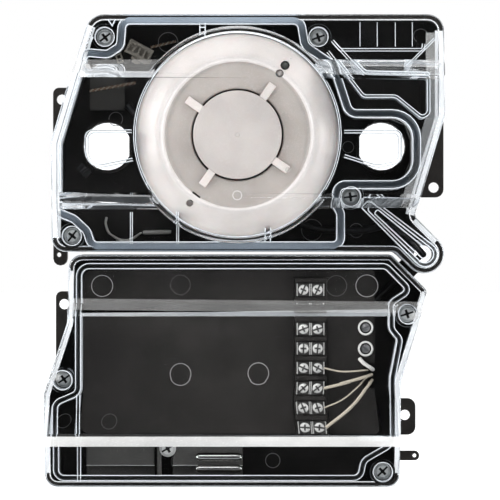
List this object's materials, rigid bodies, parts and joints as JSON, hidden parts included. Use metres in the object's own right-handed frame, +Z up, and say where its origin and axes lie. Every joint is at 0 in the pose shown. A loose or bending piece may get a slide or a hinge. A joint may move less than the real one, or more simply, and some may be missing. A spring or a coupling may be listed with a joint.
{
  "type": "duct smoke detector",
  "caption": "Duct smoke detector: a clear-covered sensor module with a plug-in head, and a clear-covered power module turning on its corner hinge.",
  "frame": {"origin": "axis of the round smoke head on the rear mounting plane", "axes": "+Z up on the wall of the duct, the front faces -Y, +X to the right seen from the front"},
  "size_m": [0.196, 0.0635, 0.2305],
  "materials": {
    "black_moulding": "fine textured black moulding",
    "clear_moulding": "clear polycarbonate",
    "head_moulding": "satin warm white",
    "gasket_rubber": "soft blue grey",
    "dark_rubber": "matt",
    "zinc_screws": "zinc plated",
    "board": "solder resist",
    "steel": "dark steel",
    "lamp": "unlit tinted lamp",
    "cream_wire": "cream insulation",
    "white_nylon": "white nylon"
  },
  "bodies": {
    "sensor_module": {"sensor_base": "black_moulding", "sensor_gasket": "gasket_rubber", "head_base": "black_moulding", "inlet_seal": "dark_rubber", "exhaust_seal": "dark_rubber", "hinge_bushing": "zinc_screws", "sensor_board": "board", "link_cable_sensor": "cream_wire", "reed_lead": "white_nylon", "reed_switch": "white_nylon", "port_clip": "dark_rubber"},
    "sensor_cover": {"sensor_cover": "clear_moulding", "sensor_cover_screw_1": "zinc_screws", "sensor_cover_screw_2": "zinc_screws", "sensor_cover_screw_3": "zinc_screws", "sensor_cover_screw_4": "zinc_screws"},
    "sensor_head": {"head_housing": "head_moulding", "head_cap": "head_moulding", "head_board": "board", "sensing_chamber": "black_moulding", "insect_screen": "steel", "power_lamp": "lamp", "alarm_lamp": "lamp"},
    "power_module": {"power_base": "black_moulding", "power_gasket": "gasket_rubber", "circuit_board": "board", "board_shroud": "black_moulding", "terminal_block": "black_moulding", "terminal_screw_1": "zinc_screws", "terminal_screw_2": "zinc_screws", "terminal_screw_3": "zinc_screws", "terminal_screw_4": "zinc_screws", "terminal_screw_5": "zinc_screws", "terminal_screw_6": "zinc_screws", "terminal_screw_7": "zinc_screws", "terminal_screw_8": "zinc_screws", "terminal_screw_9": "zinc_screws", "terminal_screw_10": "zinc_screws", "terminal_screw_11": "zinc_screws", "terminal_screw_12": "zinc_screws", "terminal_screw_13": "zinc_screws", "terminal_screw_14": "zinc_screws", "terminal_screw_15": "zinc_screws", "terminal_screw_16": "zinc_screws", "upper_post": "white_nylon", "lower_post": "white_nylon", "transformer": "steel", "relay_1": "white_nylon", "relay_2": "white_nylon", "capacitor": "dark_rubber", "lead_1": "cream_wire", "lead_2": "cream_wire", "lead_3": "cream_wire", "lead_4": "cream_wire", "post_lead": "white_nylon", "link_cable_power": "cream_wire"},
    "power_cover": {"power_cover": "clear_moulding", "power_cover_screw_1": "zinc_screws", "power_cover_screw_2": "zinc_screws", "power_cover_screw_3": "zinc_screws"}
  },
  "joints": [
    {"name": "module_hinge", "type": "hinge", "parent": "sensor_module", "child": "power_module", "pos_m": [0.0912, 0, -0.0578], "axis": [0, -1, 0], "range_deg": [0, 180]},
    {"name": "sensor_cover_lift", "type": "slide", "parent": "sensor_module", "child": "sensor_cover", "axis": [0, -1, 0], "range_m": [0, 0.075]},
    {"name": "power_cover_lift", "type": "slide", "parent": "power_module", "child": "power_cover", "axis": [0, -1, 0], "range_m": [0, 0.075]},
    {"name": "head_twist", "type": "hinge", "parent": "sensor_module", "child": "sensor_head", "pos_m": [0, 0, 0], "axis": [0, -1, 0], "range_deg": [0, 15]}
  ]
}
